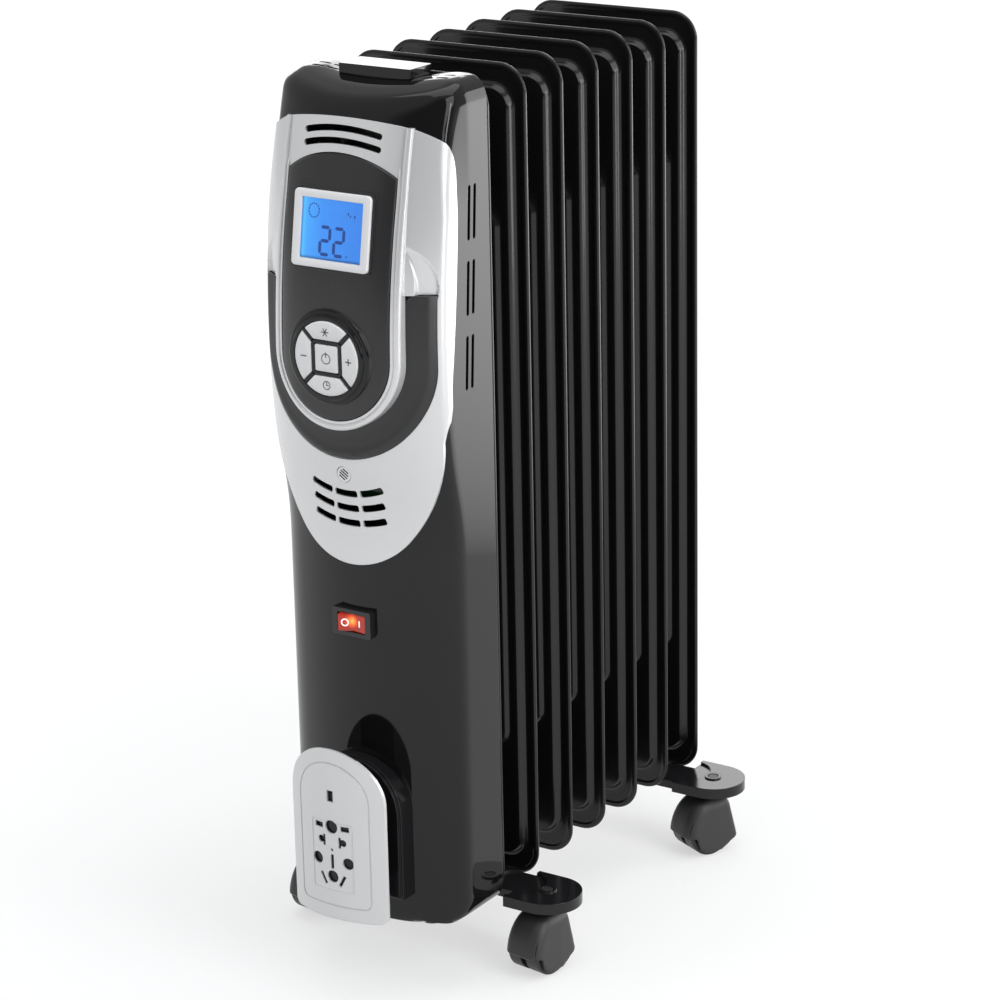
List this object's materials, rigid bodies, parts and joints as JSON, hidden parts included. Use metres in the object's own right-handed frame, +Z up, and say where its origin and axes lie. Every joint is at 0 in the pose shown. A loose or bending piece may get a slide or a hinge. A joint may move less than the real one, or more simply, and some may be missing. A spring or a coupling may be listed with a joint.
{
  "type": "oil filled radiator heater",
  "caption": "Free-standing oil filled electric radiator: pressed steel fins, moulded control housing with lit display and keys, cord-wrap spool, swivel castors.",
  "frame": {"origin": "on the floor, on the mirror plane, midway between the cord-wrap plate's front and the filler cap's rear", "axes": "+Z up from the floor, -Y towards the control housing's front, +X to the viewer's right when the front is faced"},
  "size_m": [0.236, 0.3966, 0.634],
  "materials": {
    "fin_enamel": "gloss black stove enamel",
    "bracket_enamel": "semi-gloss black enamel",
    "cap_steel": "black painted steel",
    "element_steel": "heat-tinted steel sheath",
    "flange_brass": "turned brass",
    "gasket_rubber": "red silicone rubber",
    "cutout_body": "moulded phenolic",
    "shield_sheet": "mill finish sheet",
    "housing_gloss": "high gloss black moulding",
    "handle_gloss": "high gloss black moulding",
    "fascia_silver": "silver lacquered moulding",
    "insert_grey": "satin charcoal moulding",
    "panel_grey": "satin charcoal moulding",
    "bezel_silver": "bright silver lacquer",
    "window_blue": "clear window over a blue backlit display",
    "display_blue": "blue backlit display cell",
    "board_green": "circuit board",
    "grille_black": "black moulding",
    "switch_black": "black moulding",
    "spool_gloss": "gloss black moulding",
    "plate_silver": "silver lacquered moulding",
    "gland_black": "black moulding",
    "fastener_steel": "zinc plated steel",
    "key_pearl": "pearl white satin keys",
    "rocker_red": "translucent red lit rocker",
    "castor_grey": "matt dark grey nylon",
    "wheel_grey": "matt dark grey nylon"
  },
  "bodies": {
    "heater": {"fin_1": "fin_enamel", "fin_2": "fin_enamel", "fin_3": "fin_enamel", "fin_4": "fin_enamel", "fin_5": "fin_enamel", "fin_6": "fin_enamel", "fin_7": "fin_enamel", "header_rings": "fin_enamel", "filler_cap": "cap_steel", "heating_element": "element_steel", "element_flange": "flange_brass", "element_gasket": "gasket_rubber", "thermal_cutout": "cutout_body", "heat_shield": "shield_sheet", "front_housing": "housing_gloss", "carry_handle": "handle_gloss", "fascia": "fascia_silver", "pocket_insert": "insert_grey", "control_panel": "panel_grey", "lcd_bezel": "bezel_silver", "lcd_window": "window_blue", "lcd_module": "display_blue", "control_board": "board_green", "power_board": "board_green", "chime_grille": "grille_black", "switch_frame": "switch_black", "cord_spool": "spool_gloss", "cord_plate": "plate_silver", "cord_gland": "gland_black", "housing_screws": "fastener_steel", "front_bracket": "bracket_enamel", "rear_bracket": "bracket_enamel", "front_u_bolt": "fastener_steel", "rear_u_bolt": "fastener_steel", "front_wing_nuts": "fastener_steel", "rear_wing_nuts": "fastener_steel"},
    "key_mode_body": {"key_mode": "key_pearl"},
    "key_minus_body": {"key_minus": "key_pearl"},
    "key_power_body": {"key_power": "key_pearl"},
    "key_plus_body": {"key_plus": "key_pearl"},
    "key_timer_body": {"key_timer": "key_pearl"},
    "rocker": {"switch_rocker": "rocker_red"},
    "castor_fr": {"hood_fr": "castor_grey"},
    "wheelset_fr": {"wheels_fr": "wheel_grey"},
    "castor_fl": {"hood_fl": "castor_grey"},
    "wheelset_fl": {"wheels_fl": "wheel_grey"},
    "castor_rr": {"hood_rr": "castor_grey"},
    "wheelset_rr": {"wheels_rr": "wheel_grey"},
    "castor_rl": {"hood_rl": "castor_grey"},
    "wheelset_rl": {"wheels_rl": "wheel_grey"}
  },
  "joints": [
    {"name": "key_mode_press", "type": "slide", "parent": "heater", "child": "key_mode_body", "axis": [0, 1, 0], "range_m": [0, 0.001], "stiffness_N_per_m": 300, "springref_m": -0.0015},
    {"name": "key_minus_press", "type": "slide", "parent": "heater", "child": "key_minus_body", "axis": [0, 1, 0], "range_m": [0, 0.001], "stiffness_N_per_m": 300, "springref_m": -0.0015},
    {"name": "key_power_press", "type": "slide", "parent": "heater", "child": "key_power_body", "axis": [0, 1, 0], "range_m": [0, 0.001], "stiffness_N_per_m": 300, "springref_m": -0.0015},
    {"name": "key_plus_press", "type": "slide", "parent": "heater", "child": "key_plus_body", "axis": [0, 1, 0], "range_m": [0, 0.001], "stiffness_N_per_m": 300, "springref_m": -0.0015},
    {"name": "key_timer_press", "type": "slide", "parent": "heater", "child": "key_timer_body", "axis": [0, 1, 0], "range_m": [0, 0.001], "stiffness_N_per_m": 300, "springref_m": -0.0015},
    {"name": "mains_rocker", "type": "hinge", "parent": "heater", "child": "rocker", "pos_m": [0, -0.1608, 0.266], "axis": [0, 0, 1], "range_deg": [-16, 0]},
    {"name": "swivel_fr", "type": "hinge", "parent": "heater", "child": "castor_fr", "pos_m": [0.094, -0.0748, 0.05], "axis": [0, 0, 1], "continuous": true},
    {"name": "roll_fr", "type": "hinge", "parent": "castor_fr", "child": "wheelset_fr", "pos_m": [0.09261, -0.0847, 0.0185], "axis": [0.9903, -0.1392, 0], "continuous": true},
    {"name": "swivel_fl", "type": "hinge", "parent": "heater", "child": "castor_fl", "pos_m": [-0.094, -0.0748, 0.05], "axis": [0, 0, 1], "continuous": true},
    {"name": "roll_fl", "type": "hinge", "parent": "castor_fl", "child": "wheelset_fl", "pos_m": [-0.09539, -0.0847, 0.0185], "axis": [0.9903, -0.1392, 0], "continuous": true},
    {"name": "swivel_rr", "type": "hinge", "parent": "heater", "child": "castor_rr", "pos_m": [0.094, 0.1582, 0.05], "axis": [0, 0, 1], "continuous": true},
    {"name": "roll_rr", "type": "hinge", "parent": "castor_rr", "child": "wheelset_rr", "pos_m": [0.08962, 0.14921, 0.0185], "axis": [0.8988, -0.4384, 0], "continuous": true},
    {"name": "swivel_rl", "type": "hinge", "parent": "heater", "child": "castor_rl", "pos_m": [-0.094, 0.1582, 0.05], "axis": [0, 0, 1], "continuous": true},
    {"name": "roll_rl", "type": "hinge", "parent": "castor_rl", "child": "wheelset_rl", "pos_m": [-0.09261, 0.1483, 0.0185], "axis": [0.9903, 0.1392, 0], "continuous": true}
  ]
}
